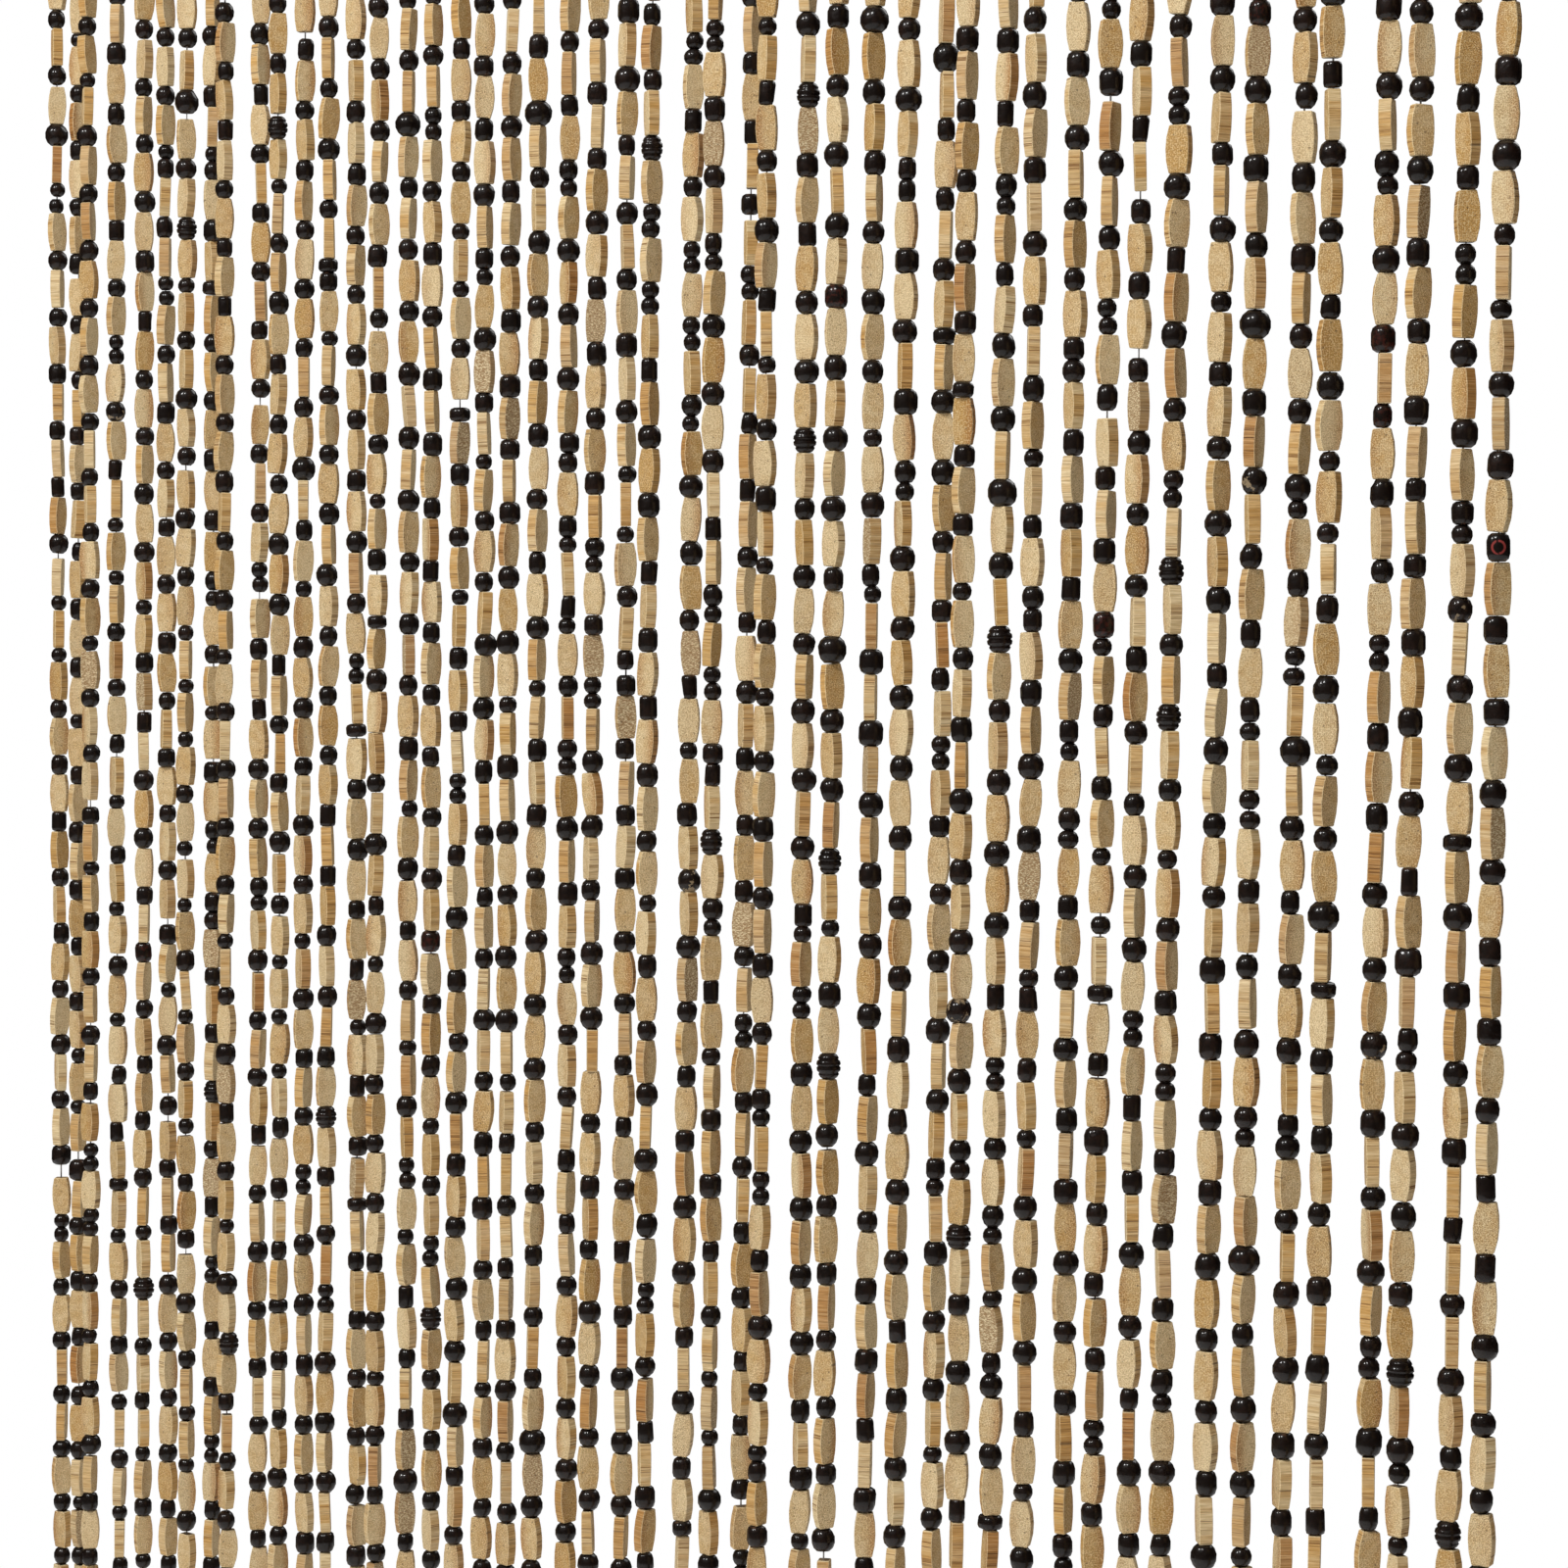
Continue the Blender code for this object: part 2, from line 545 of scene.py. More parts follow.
CHARTS = (
    Chart(0, (20, 838, 1587), "b b O ss B b C c L B s s b C", "L b C b B b C ss b b b b b b"),
    Chart(1, (41, 849, 1587), "s b C b C b b c c c C C s c", "C C c c s s C b c c b b s b"),
    Chart(2, (27, 832, 1588), "b s B b B b B b b b b s b b", "c s c b B c ss ss b s b B c c"),
    Chart(3, (55, 818, 1543), "C C b L b ss B* L s s b b c", "s c s B s c L W s b c s b s"),
    Chart(4, (30, 855, 1592), "b b b B C L b b B B s C L B", "B c C+ b c c b s R b c s c s"),
    Chart(5, (38, 830, 1539), "b b sc C ss b C b c b C b c", "b b C s B b c c B b b b c"),
    Chart(6, (39, 810, 1551), "b O B R s b B b B b s s s", "b s s Q s b s c c B b s s B"),
    Chart(7, (37, 847, 1540), "b C sb C W b b C C bs b s C", "bs cb c c R b L ss c c ss c"),
    Chart(8, (13, 844, 1551), "B c L b c L b b C b B s b b", "b b s b B L b s B R c b b"),
    Chart(9, (35, 845, 1569), "B L b c b c b b b ss C L B", "B bs B b b L b B b c b b c"),
    Chart(10, (65, 859, 1566), "c R s b B c b b B B L b c", "B b s s s C C c W c c b b"),
    Chart(11, (51, 842, 1574), "C b C b b b b O C s B B b", "B b s B c b ss B B C b b C"),
    Chart(12, (28, 832, 1573), "B b B b Wc s b b B B b b b", "L L B B C R c b ss B B B C"),
    Chart(13, (50, 805, 1587), "b C C b b B b C B b ss W", "b B c L s L c W c c b b b C"),
    Chart(14, (7, 799, 1584), "B b b B C b L b s C W B -", "b B c s B b b b c b s b c b"),
    Chart(15, (62, 825, 1573), "b O b b b B B B b B b C", "s B c b s B ss s L c L O c"),
    Chart(16, (57, 834, 1531), "b ss b C b C C c L c c c", "b B C+ c C s b ss R b c b"),
    Chart(17, (50, 797, 1566), "c c b s s b W C b s C c", "ss C B C b B C B B B O c b"),
    Chart(18, (68, 852, 1538), "c C B cs B c s b b B B C", "b c b B b C C b c s c b"),
    Chart(19, (65, 849, 1543), "b B C b C C c C B B s Q", "B b B B s c b c c B b b"),
    Chart(20, (48, 832, 1537), "C O b B B C Q b C B s C", "C b B B B b b c b c O B"),
    Chart(21, (43, 845, 1563), "b c bs B b B cb cs Ls b bs", "B C bs b b C c b b b B b"),
    Chart(22, (30, 843, 1530), "b C c B C C b C bs c ss B", "B b B B - b C c B B b B"),
    Chart(23, (11, 832, 1536), "C O c B b C B s s b cc c", "c c b b c c b L c B B b"),
    Chart(24, (15, 858, 1527), "c c R ss ss L B Q L C L B", "b s C b B B B ss b L C"),
    Chart(25, (42, 831, 1559), "ss L b ss ss bs B B b L s", "C B* B b c c B B c B c W"),
    Chart(26, (29, 859, 1530), "ss C b cs B B B L bs ss cL", "R bs L s c C c b s s B"),
    Chart(27, (65, 842, 1519), "c L c ss b c L b c B C", "c c b ss c b c b c c c"),
    Chart(28, (27, 846, 1567), "s L b B L s b C s C s b", "C b C b cs ss c B s sc c"),
    Chart(29, (25, 865, 1572), "B R C L B B R b B b B B", "B Ls ss B B B B B C C s"),
    Chart(30, (17, 806, 1571), "C b B B C+ B B B C O B", "B R s Q R B b c b b c B"),
    Chart(31, (20, 821, 1530), "O B C b B b s B cs Q Q", "B Q B B c B b Q C L C"),
    Chart(32, (30, 855, 1567), "b B cc C B Q bs B B B B", "B B B Q C B B L C B B"),
    Chart(33, (59, 843, 1549), "O c c b W B B b c c ss", "c b b B B cs Q b b s b"),
    Chart(34, (40, 817, 1541), "C c c b c W c c s b C", "B Q B B* B bs R c B B L"),
    Chart(35, (42, 871, 1553), "C L bs c B B O B R b B", "B B L ss b bs s cb B W"),
    Chart(36, (20, 856, 1522), "b B C B c C s c bc C B", "Q c sL c s B B B C s"),
    Chart(37, (66, 836, 1503), "C B b b cb C C L B cs", "bs C B B C C B b C C"),
    Chart(38, (84, 804, 1545), "C B b ss C c C C+s c", "c s s W c Q b c c ss c"),
    Chart(39, (55, 821, 1576), "C L c C c b b b C b", "b b B ss L C B b c B c"),
    Chart(40, (27, 806, 1576), "b ss B L B b ss R b R", "b s b C ss C C c Cs B c"),
    Chart(41, (81, 842, 1588), "B c B s c b B B c B", "b b Q C b C B b b C B"),
    Chart(42, (13, 816, 1588), "C B C b O C B* b C cs", "ss c b B bs - O b B B s"),
    Chart(43, (98, 845, 1553), "b Q C b b Bs C ss O", "b c b B cb b B B C C"),
    Chart(44, (76, 856, 1552), "L B b c B s s C B s", "b O W C C b Q C b L"),
    Chart(45, (7, 834, 1549), "C B bs B C+ c C b ss C", "C b b B* Q b B bs Q c"),
    Chart(46, (12, 820, 1577), "b b B C c C c c C C", "b L Q cs B B c R Bs s"),
    Chart(47, (17, 860, 1566), "B C c ss B Q cs b B B", "W B C b C L b B c R"),
    Chart(48, (72, 810, 1531), "C B s s b Q Co C C", "B b C C b L L B b b"),
)


@dataclass(frozen=True)
class Viewpoint:
    """Where the photograph was taken from."""

    turn: float = 44.86
    pitch: float = 3.0
    roll: float = 0.41
    eye: tuple[float, float, float] = (1.3116, -1.2363, -0.86)
    focal_px: float = 4250.0
    image_px: float = 1600.0
    close_mm: float = 0.01

    @property
    def axes(self) -> tuple[Vector, Vector, Vector]:
        """The directions to the right, upwards and into the picture."""
        turn, pitch, roll = (math.radians(angle) for angle in (self.turn, self.pitch, self.roll))
        look = Vector((-math.sin(turn) * math.cos(pitch), math.cos(turn) * math.cos(pitch),
                       -math.sin(pitch)))
        level = Vector((math.cos(turn), math.sin(turn), 0.0))
        upright = level.cross(look)
        return (math.cos(roll) * level + math.sin(roll) * upright,
                -math.sin(roll) * level + math.cos(roll) * upright, look)

    def drop(self, line: StrandLine, row_px: float) -> float:
        """Find how far down a strand a row of the photograph meets it.

        Args:
            line: where the strand hangs.
            row_px: the row, counted from the photograph's top.

        Returns:
            How far below the curtain's top edge the place is.
        """
        _, upper, look = self.axes
        higher, lower = 0.0, line.end
        while lower - higher > self.close_mm * MM:
            middle = (higher + lower) / 2.0
            away = line.axis(middle) - Vector(self.eye)
            if self.image_px / 2.0 - self.focal_px * away.dot(upper) / away.dot(look) < row_px:
                higher = middle
            else:
                lower = middle
        return higher


@dataclass
class Bead:
    """A bead that waits to be threaded, of no wooden kind where it is a slab bead."""

    kind: WoodenKind | None
    length: float
    width: float = 0.0
    chipped: bool = False
    reddish: bool = False
    ringed: bool = False


@dataclass
class BeadPlace:
    """One bead on a strand: which blank it is, how large, and how it sits on the string."""

    blank: int
    middle: Vector
    scale: Vector
    spin: float
    tilt: tuple[float, float]
    look: tuple[float, float, float]

    def matrix(self) -> Matrix:
        """Give the turn and the place of the bead, without its scale."""
        turn = (Matrix.Rotation(self.tilt[0], 4, "X") @ Matrix.Rotation(self.tilt[1], 4, "Y")
                @ Matrix.Rotation(self.spin, 4, "Z"))
        return Matrix.Translation(self.middle) @ turn


@dataclass
class JoinedBeads:
    """Many beads joined into one mesh, each with its own attributes and place on the map."""

    name: str
    blanks: list[Blank]
    beads: list[BeadPlace]

    def build(self) -> bpy.types.Object:
        """Join the beads.

        Returns:
            The piece, at the origin with its place in its mesh.
        """
        points, local, look, corners, starts, places, kinds = ([] for _ in range(7))
        first_point = first_corner = 0
        cells = math.ceil(math.sqrt(len(self.beads)))
        for number, bead in enumerate(self.beads):
            blank = self.blanks[bead.blank]
            shape = blank.points * np.array(bead.scale)
            matrix = np.array(bead.matrix())
            points.append(shape @ matrix[:3, :3].T + matrix[:3, 3])
            local.append(shape / MM)
            look.append(np.tile(bead.look, (len(shape), 1)))
            corners.append(blank.corners + first_point)
            starts.append(blank.starts + first_corner)
            cell = np.array((number % cells, number // cells))
            places.append((blank.places + cell) / cells)
            kinds.append(blank.kinds)
            first_point += len(shape)
            first_corner += len(blank.corners)
        mesh = bpy.data.meshes.new(self.name)
        mesh.vertices.add(first_point)
        mesh.vertices.foreach_set("co", np.concatenate(points).ravel())
        mesh.loops.add(first_corner)
        mesh.loops.foreach_set("vertex_index", np.concatenate(corners))
        starts = np.concatenate(starts)
        mesh.polygons.add(len(starts))
        mesh.polygons.foreach_set("loop_start", starts)
        mesh.update(calc_edges=True)
        self.attach(mesh, LOCAL, "POINT", np.concatenate(local))
        self.attach(mesh, LOOK, "POINT", np.concatenate(look))
        self.attach(mesh, FACE, "FACE", np.concatenate(kinds))
        layer = mesh.uv_layers.new(name=BAKE_MAP)
        layer.uv.foreach_set("vector", np.concatenate(places).ravel())
        mesh.validate()
        mesh.shade_smooth()
        return add_object(self.name, mesh)

    @staticmethod
    def attach(mesh: bpy.types.Mesh, name: str, domain: str, values: np.ndarray) -> None:
        """Give the mesh an attribute of three numbers.

        Args:
            mesh: the mesh.
            name: the attribute's name.
            domain: POINT or FACE.
            values: a row of three numbers for each point or face.
        """
        layer = mesh.attributes.new(name, "FLOAT_VECTOR", domain)
        layer.data.foreach_set("vector", values.ravel())


class Bench:
    """A material's node tree, with short ways to add and link its nodes."""

    def __init__(self, name: str) -> None:
        """Start a material with a Principled shader.

        Args:
            name: the material's name.
        """
        self.material = bpy.data.materials.new(name)
        self.material.use_nodes = True
        self.tree = self.material.node_tree
        self.shader = self.tree.nodes["Principled BSDF"]

    def node(self, kind: str, *values: object, **settings: object) -> bpy.types.Node:
        """Add a node.

        Args:
            kind: the node's type, without the ShaderNode that all begin with.
            values: its first inputs, in their order, as sockets or values.
            settings: the node's own settings.

        Returns:
            The node.
        """
        made = self.tree.nodes.new("ShaderNode" + kind)
        for key, value in settings.items():
            setattr(made, key, value)
        for target, value in zip(made.inputs, values):
            self.feed(target, value)
        return made

    def feed(self, target: Socket, value: object) -> None:
        """Link a socket to another one, or set it to a value."""
        if isinstance(value, bpy.types.NodeSocket):
            self.tree.links.new(value, target)
        else:
            target.default_value = value

    def fill(self, node: bpy.types.Node, **values: object) -> bpy.types.Node:
        """Feed a node's inputs by their names, with _ for a space, and return the node."""
        for name, value in values.items():
            self.feed(node.inputs[name.replace("_", " ")], value)
        return node

    def attribute(self, name: str) -> Socket:
        """Read one of the mesh's attributes as a vector."""
        return self.node("Attribute", attribute_name=name).outputs["Vector"]

    def math(self, operation: str, *values: object, clamp: bool = False) -> Socket:
        """Work with numbers.

        Args:
            operation: a Math node's operation.
            values: its inputs, as sockets or numbers.
            clamp: whether the result is held between 0 and 1.

        Returns:
            The result.
        """
        made = self.node("Math", *values, operation=operation, use_clamp=clamp)
        return made.outputs["Value"]

    def times(self, first: object, second: object) -> Socket:
        """Multiply two numbers."""
        return self.math("MULTIPLY", first, second)

    def plus(self, first: object, second: object) -> Socket:
        """Add two numbers."""
        return self.math("ADD", first, second)

    def less(self, first: object, second: object) -> Socket:
        """Take the second number from the first."""
        return self.math("SUBTRACT", first, second)

    def vector(self, operation: str, *values: object) -> Socket:
        """Work with vectors.

        Args:
            operation: a Vector Math node's operation.
            values: its inputs, as sockets or triples.

        Returns:
            The resulting vector.
        """
        return self.node("VectorMath", *values, operation=operation).outputs["Vector"]

    def parts(self, vector: Socket) -> tuple[Socket, Socket, Socket]:
        """Split a vector into its three numbers."""
        return tuple(self.node("SeparateXYZ", vector).outputs)

    def join(self, *values: object) -> Socket:
        """Make a vector of three numbers."""
        return self.node("CombineXYZ", *values).outputs["Vector"]

    def ramp(self, value: object, low: float, high: float, to_low: float = 0.0,
             to_high: float = 1.0) -> Socket:
        """Bring a number smoothly from one range to another, and hold it there.

        Args:
            value: the number.
            low: where the change begins.
            high: where it ends.
            to_low: the result up to low.
            to_high: the result from high on.

        Returns:
            The result.
        """
        made = self.node("MapRange", interpolation_type="SMOOTHSTEP")
        self.fill(made, Value=value, From_Min=low, From_Max=high, To_Min=to_low, To_Max=to_high)
        return made.outputs["Result"]

    def noise(self, vector: Socket, scale: float, detail: float = 2.0, rough: float = 0.5,
              colored: bool = False) -> Socket:
        """Add noise.

        Args:
            vector: where it is read.
            scale: how fine it is.
            detail: how many finer layers it has.
            rough: how strong those are.
            colored: whether the result is three numbers and not one.

        Returns:
            The noise, from 0 to 1 about 0.5.
        """
        made = self.fill(self.node("TexNoise"), Vector=vector, Scale=scale, Detail=detail,
                         Roughness=rough)
        return made.outputs["Color" if colored else "Fac"]

    def cells(self, vector: Socket, scale: object, randomness: float,
              dimensions: str = "3D") -> tuple[Socket, Socket]:
        """Add scattered cells.

        Args:
            vector: where they are read.
            scale: how many there are to a unit.
            randomness: how uneven they lie, from 0 to 1.
            dimensions: 3D, or 2D for cells that run through along Z.

        Returns:
            The distance to the nearest cell's middle, and that cell's own random color.
        """
        made = self.node("TexVoronoi", feature="F1", distance="EUCLIDEAN",
                         voronoi_dimensions=dimensions)
        self.fill(made, Vector=vector, Scale=scale, Randomness=randomness)
        return made.outputs["Distance"], made.outputs["Color"]

    def blend(self, share: object, first: object, second: object, mode: str = "MIX") -> Socket:
        """Mix two colors.

        Args:
            share: how much of the second there is.
            first: the first color.
            second: the second color.
            mode: the way they are mixed.

        Returns:
            The mixed color.
        """
        made = self.node("Mix", data_type="RGBA", blend_type=mode)
        self.feed(made.inputs[0], share)
        self.feed(made.inputs[6], first)
        self.feed(made.inputs[7], second)
        return made.outputs[2]

    def bump(self, height: Socket, strength: float, distance: float) -> None:
        """Raise the surface by a height.

        Args:
            height: the height, from 0 to 1.
            strength: how strongly it shows.
            distance: how high a height of 1 stands.
        """
        made = self.fill(self.node("Bump"), Strength=strength, Distance=distance, Height=height)
        self.fill(self.shader, Normal=made.outputs["Normal"])


class BeadBench(Bench):
    """A bench for beads, with what their meshes say of each bead and of each place on it.

    A bead's tone, second number and seed differ from bead to bead. The second says how far the
    stem's outer side reaches into a slab bead, and how dented a wooden bead is. Eased, end and
    narrow are 1 on such faces. Across, through and along are millimetres from its middle.
    """

    def __init__(self, name: str) -> None:
        """Start a material and read the attributes.

        Args:
            name: the material's name.
        """
        super().__init__(name)
        self.local, look, face = (self.attribute(given) for given in (LOCAL, LOOK, FACE))
        self.tone, self.second, self.seed = self.parts(look)
        self.eased, self.end, self.narrow = self.parts(face)
        self.across, self.through, self.along = self.parts(self.local)
        self.apart = self.vector("MULTIPLY", look, LOOK_SHIFT)


@dataclass(frozen=True)
class BambooFinish:
    """Raw bamboo cut across the stem: fibres run through the slab from face to face.

    They show as dense brown dots on the broad faces and as fine lines across the narrow ones.
    The stem's outer side is darker, and so are its fibres.
    """

    cream: Color = (0.80, 0.645, 0.400, 1.0)
    tan: Color = (0.580, 0.350, 0.115, 1.0)
    warm: Color = (0.645, 0.385, 0.130, 1.0)
    outer: Color = (0.45, 0.205, 0.055, 1.0)
    dot: Color = (0.24, 0.115, 0.032, 1.0)
    deep_dot: Color = (0.12, 0.050, 0.014, 1.0)
    # Pale bamboo between the fibres and on torn faces; on the eased edges it is partly sanded
    # wood and partly painted highlight.
    pale: Color = (0.82, 0.68, 0.425, 1.0)
    # Dark brown of the specks, of the scorch and painted notch shade by the holes, and of the
    # ends, which are partly rough cut and partly painted shade.
    end: Color = (0.16, 0.095, 0.045, 1.0)
    torn: Color = (0.36, 0.215, 0.095, 1.0)
    broad_shade: Color = (0.80, 0.73, 0.60, 1.0)
    narrow_shade: Color = (0.76, 0.66, 0.50, 1.0)
    grain_light: Color = (1.18, 1.17, 1.15, 1.0)
    dots_per_mm: tuple[float, float] = (1.4, 1.95)
    drift_through: float = 0.035
    coarse_from: tuple[float, float] = (0.964, 0.970)
    roughness: tuple[float, float] = (0.52, 0.72)
    specular: float = 0.35

    def make(self) -> bpy.types.Material:
        """Make the finish."""
        bench = BeadBench("Bamboo")
        seat = bench.join(bench.across, bench.along,
                          bench.times(bench.through, self.drift_through))
        seat = bench.vector("ADD", seat, bench.apart)
        warp = bench.vector("SUBTRACT", bench.noise(seat, 0.8, 1.0, colored=True),
                            (0.5, 0.5, 0.5))
        bent = bench.vector("ADD", seat, bench.vector("MULTIPLY", warp, (0.7, 0.7, 0.0)))
        outer = bench.times(bench.ramp(bench.across, -1.0, 4.4), bench.second)
        ground = self.tones(bench, seat, outer)
        ground, dots = self.fibres(bench, (seat, bent), outer, ground)
        fine = bench.noise(seat, 3.4, 2.0, 0.65)
        shade = bench.blend(bench.narrow, self.broad_shade, self.narrow_shade)
        shade = bench.blend(bench.ramp(fine, 0.30, 0.70), shade, self.grain_light)
        ground = bench.blend(1.0, ground, shade, "MULTIPLY")
        tears = bench.noise(bench.vector("MULTIPLY", seat, (0.9, 2.7, 1.0)), 1.1, 3.0, 0.65)
        tears = bench.ramp(tears, 0.49, 0.57)
        coarse = bench.times(bench.ramp(bench.seed, *self.coarse_from),
                             bench.less(1.0, bench.times(bench.narrow, 0.6)))
        ground = bench.blend(coarse, ground, bench.blend(tears, self.torn, self.pale))
        # Darken the specks, the scorch and painted notch shade by the holes, and the ends with
        # their painted shade.
        ground = bench.blend(self.marks(bench, bent), ground, self.end)
        bench.fill(bench.shader, Base_Color=ground, Specular_IOR_Level=self.specular,
                   Roughness=bench.ramp(fine, 0.2, 0.8, *self.roughness))
        height = bench.less(bench.times(fine, 0.6), dots)
        bench.bump(bench.plus(height, bench.times(coarse, tears)), 0.6, 0.00007)
        return bench.material

    def tones(self, bench: BeadBench, seat: Socket, outer: Socket) -> Socket:
        """Work out the color that a bead has before its fibres show, with a painted highlight on
        its eased edges.

        Args:
            bench: the bench.
            seat: where the textures are read.
            outer: how much of the stem's outer side there is.

        Returns:
            The color.
        """
        cloud = bench.noise(seat, 0.25, 2.0)
        share = bench.math("ADD", bench.tone, bench.ramp(cloud, 0.3, 0.7, -0.2, 0.2), clamp=True)
        ground = bench.blend(share, self.cream, self.tan)
        own_tone = bench.math("FRACT", bench.times(bench.seed, 17.0))
        warmth = bench.math("ADD", bench.ramp(own_tone, 0.2, 1.0, 0.0, 0.8),
                            bench.ramp(cloud, 0.3, 0.7, -0.3, 0.3), clamp=True)
        ground = bench.blend(bench.times(bench.narrow, warmth), ground, self.warm)
        ground = bench.blend(outer, ground, self.outer)
        # The eased edges are painted paler: partly sanded wood, partly painted highlight where
        # the edges catch the light.
        return bench.blend(bench.times(bench.eased, 0.6), ground, self.pale)

    def fibres(self, bench: BeadBench, seats: tuple[Socket, Socket], outer: Socket,
               ground: Socket) -> tuple[Socket, Socket]:
        """Show the fibres, with paler bamboo between them.

        Args:
            bench: the bench.
            seats: where the textures are read, straight and a little bent.
            outer: how much of the stem's outer side there is.
            ground: the color so far.

        Returns:
            The color, and how near the middle of a fibre each place is.
        """
        seat, bent = seats
        per_mm = bench.ramp(bench.seed, 0.0, 1.0, *self.dots_per_mm)
        far, own = bench.cells(bent, per_mm, 0.62, "2D")
        own_reach, own_depth, _ = bench.parts(own)
        reach = bench.ramp(own_reach, 0.0, 1.0, 0.30, 0.52)
        dots = bench.math("SUBTRACT", 1.0, bench.math("DIVIDE", far, reach), clamp=True)
        dots = bench.ramp(dots, 0.0, 0.5)
        crowd = bench.noise(seat, 0.35, 1.0)
        broad = bench.times(bench.ramp(crowd, 0.3, 0.7, 0.7, 1.0),
                            bench.ramp(bench.seed, 0.0, 1.0, 0.45, 0.85))
        lined = bench.times(bench.ramp(crowd, 0.36, 0.62, 0.10, 1.0),
                            bench.ramp(own_depth, 0.1, 0.8, 0.15, 1.0))
        depth = bench.times(bench.ramp(bench.narrow, 0.0, 1.0, broad, lined),
                            bench.ramp(bench.eased, 0.0, 1.0, 1.0, 0.5))
        between = bench.times(bench.ramp(far, 0.46, 0.62),
                              bench.less(0.55, bench.times(bench.narrow, 0.35)))
        ground = bench.blend(between, ground, self.pale)
        fibre = bench.blend(outer, self.dot, self.deep_dot)
        return bench.blend(bench.times(dots, depth), ground, fibre), dots

    def marks(self, bench: BeadBench, bent: Socket) -> Socket:
        """Find the dark places: specks, scorch and painted notch shade by the holes, and the
        shaded ends.

        Args:
            bench: the bench.
            bent: where the textures are read, a little bent.

        Returns:
            How dark each place is marked.
        """
        speck, own = bench.cells(bent, 0.33, 1.0, "2D")
        speck = bench.times(bench.ramp(speck, 0.08, 0.16, 1.0, 0.0),
                            bench.ramp(bench.parts(own)[1], 0.86, 0.88))
        # By the holes: partly scorch, partly painted shade where a notch would be.
        stain = bench.times(bench.ramp(bench.math("ABSOLUTE", bench.along), 8.6, 9.6),
                            bench.ramp(bench.math("ABSOLUTE", bench.across), 0.5, 1.1, 1.0, 0.0))
        stain = bench.times(stain, bench.ramp(bench.seed, 0.35, 0.65))
        marks = bench.math("MAXIMUM", bench.times(speck, 0.7), bench.times(stain, 0.85))
        # The ends are darkened partly as rough cut wood and partly as painted shade.
        return bench.math("MAXIMUM", marks, bench.times(bench.end, 0.85))


@dataclass(frozen=True)
class DarkWoodFinish:
    """Black-brown stain on turned wood under a thin semi-gloss coat, with dents and pits."""

    black: Color = (0.0072, 0.0040, 0.0028, 1.0)
    brown: Color = (0.019, 0.0088, 0.0056, 1.0)
    # Brown on the bead's ends: partly wear, partly painted reflection of the bamboo beads that
    # touch them.
    worn: Color = (0.050, 0.022, 0.011, 1.0)
    bare: Color = (0.30, 0.22, 0.13, 1.0)
    red: Color = (0.050, 0.011, 0.007, 1.0)
    ring: Color = (0.27, 0.042, 0.036, 1.0)
    ring_reach_mm: float = 2.25
    chipped_from: tuple[float, float] = (0.982, 0.986)
    reddish_from: tuple[float, float] = (0.976, 0.980)
    ringed_from: tuple[float, float] = (1.4, 1.6)
    roughness: tuple[float, float] = (0.42, 0.58)
    specular: float = 0.15
    coat: float = 0.48
    coat_roughness: float = 0.12

    def make(self) -> bpy.types.Material:
        """Make the finish."""
        bench = BeadBench("Dark wood")
        seat = bench.vector("ADD", bench.local, bench.apart)
        cloud = bench.noise(seat, 0.35, 3.0, 0.6)
        grain = bench.noise(bench.vector("MULTIPLY", seat, (1.0, 1.0, 0.25)), 3.0, 2.0, 0.6)
        ground = bench.blend(bench.times(bench.ramp(cloud, 0.35, 0.7), bench.tone),
                             self.black, self.brown)
        # The ends are painted brown: partly wear, partly painted reflection of the neighbouring
        # bamboo beads.
        worn = bench.times(bench.end, bench.ramp(cloud, 0.3, 0.6))
        ringed = bench.ramp(bench.seed, *self.ringed_from)
        for share, color in ((worn, self.worn), (self.chips(bench, seat), self.bare),
                             (self.redness(bench, seat, ringed), self.red),
                             (self.worn_ring(bench, seat, ringed), self.ring)):
            ground = bench.blend(share, ground, color)
        bench.fill(bench.shader, Base_Color=ground, Specular_IOR_Level=self.specular,
                   Roughness=bench.ramp(grain, 0.25, 0.75, *self.roughness),
                   Coat_Weight=self.coat, Coat_Roughness=self.coat_roughness)
        swell = bench.times(bench.noise(seat, 0.34, 2.0),
                            bench.ramp(bench.second, 0.0, 1.0, 2.0, 7.0))
        height = bench.plus(swell, bench.times(grain, 0.12))
        pits = self.pits(bench, seat)
        bench.bump(bench.less(height, bench.times(pits, 0.9)), 0.55, 0.0002)
        return bench.material

    def pits(self, bench: BeadBench, seat: Socket) -> Socket:
        """Find the small pits, which few of the cells have."""
        far, own = bench.cells(seat, 0.42, 1.0)
        return bench.times(bench.ramp(far, 0.10, 0.22, 1.0, 0.0),
                           bench.ramp(bench.parts(own)[2], 0.62, 0.70))

    def chips(self, bench: BeadBench, seat: Socket) -> Socket:
        """Find where a chipped bead has lost its stain."""
        return bench.times(bench.ramp(bench.noise(seat, 0.2, 4.0, 0.6), 0.57, 0.60),
                           bench.ramp(bench.second, *self.chipped_from))

    def redness(self, bench: BeadBench, seat: Socket, ringed: Socket) -> Socket:
        """Find where a reddish bead is red, which a ringed one isn't."""
        red = bench.times(bench.ramp(bench.noise(seat, 0.5, 3.0, 0.7), 0.45, 0.65),
                          bench.ramp(bench.seed, *self.reddish_from))
        return bench.times(red, bench.less(1.0, ringed))

    def worn_ring(self, bench: BeadBench, seat: Socket, ringed: Socket) -> Socket:
        """Find the ring on the side of a ringed bead that faces its local +X."""
        reach = bench.math("SQRT", bench.plus(bench.times(bench.through, bench.through),
                                              bench.times(bench.along, bench.along)))
        off = bench.math("ABSOLUTE", bench.less(reach, self.ring_reach_mm))
        ring = bench.times(bench.ramp(off, 0.24, 0.54, 1.0, 0.0),
                           bench.ramp(bench.noise(seat, 0.4, 1.0), 0.36, 0.46))
        return bench.times(bench.times(ring, bench.ramp(bench.across, 0.5, 1.0)), ringed)


